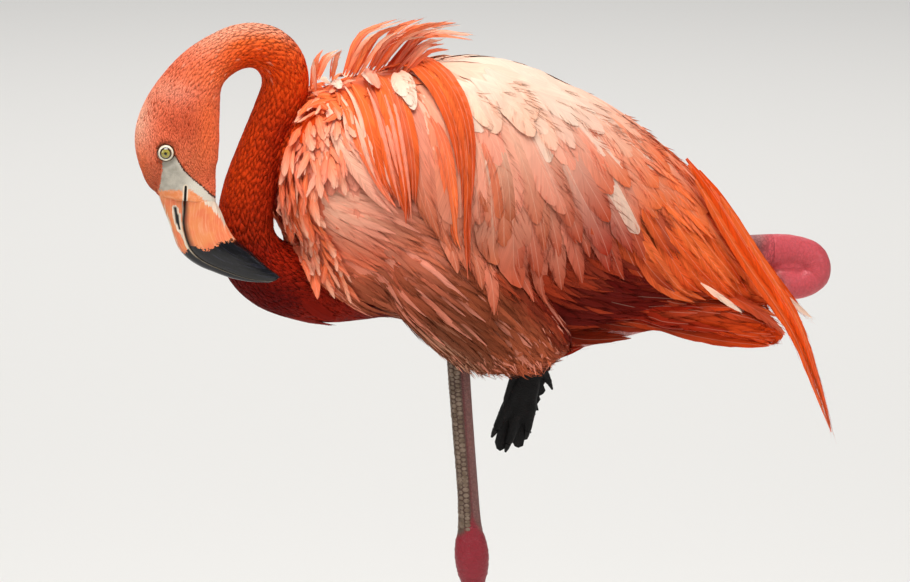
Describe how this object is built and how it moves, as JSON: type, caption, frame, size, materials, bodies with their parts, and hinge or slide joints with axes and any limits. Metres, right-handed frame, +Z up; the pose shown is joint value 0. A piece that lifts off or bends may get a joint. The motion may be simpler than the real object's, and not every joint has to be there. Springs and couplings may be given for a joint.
{
  "type": "flamingo",
  "caption": "Life-size still flamingo that stands on one leg, the other folded under it, with its neck looped back and its bill at its breast.",
  "frame": {"origin": "on the floor under the middle toe of the standing foot", "axes": "+Z up; the bird faces -X, its left side is -Y"},
  "size_m": [0.6013, 0.1724, 0.6924],
  "materials": {
    "neck_plumage": "velvety short feathers",
    "body_plumage": "soft layered feathers",
    "wing_plumage": "broad overlapping feathers",
    "long_feathers": "long loose feathers",
    "leg_skin": "scaly bare skin",
    "hock_skin": "scaly crimson skin",
    "black_foot_skin": "dark scaly skin",
    "claw_horn": "horn",
    "bill_horn": "satin horn with a black tip",
    "eye_cornea": "wet gloss"
  },
  "bodies": {
    "root": {"neck_base": "neck_plumage", "neck_lower": "neck_plumage", "neck_middle": "neck_plumage", "neck_arch": "neck_plumage", "neck_upper": "neck_plumage", "head": "neck_plumage", "trunk": "body_plumage", "thigh_left": "body_plumage", "thigh_right": "body_plumage", "ruff_left": "wing_plumage", "ruff_right": "wing_plumage", "scapulars_left": "wing_plumage", "scapulars_right": "wing_plumage", "coverts_left": "wing_plumage", "coverts_right": "wing_plumage", "tertials_left": "wing_plumage", "tertials_right": "wing_plumage", "plume_left": "long_feathers", "plume_right": "long_feathers", "crest": "long_feathers", "tail": "long_feathers", "shin_left": "leg_skin", "shin_right": "leg_skin", "shank_left": "leg_skin", "shank_right": "leg_skin", "hock_left": "hock_skin", "hock_right": "hock_skin", "foot_left": "black_foot_skin", "toe_inner_left": "black_foot_skin", "toe_middle_left": "black_foot_skin", "toe_outer_left": "black_foot_skin", "toe_hind_left": "black_foot_skin", "web_inner_left": "black_foot_skin", "web_outer_left": "black_foot_skin", "foot_right": "black_foot_skin", "toe_inner_right": "black_foot_skin", "toe_middle_right": "black_foot_skin", "toe_outer_right": "black_foot_skin", "toe_hind_right": "black_foot_skin", "claw_inner_left": "claw_horn", "claw_middle_left": "claw_horn", "claw_outer_left": "claw_horn", "claw_hind_left": "claw_horn", "claw_inner_right": "claw_horn", "claw_middle_right": "claw_horn", "claw_outer_right": "claw_horn", "claw_hind_right": "claw_horn", "bill_upper": "bill_horn", "bill_lower": "bill_horn", "eye_left": "eye_cornea", "eye_right": "eye_cornea"}
  },
  "joints": []
}
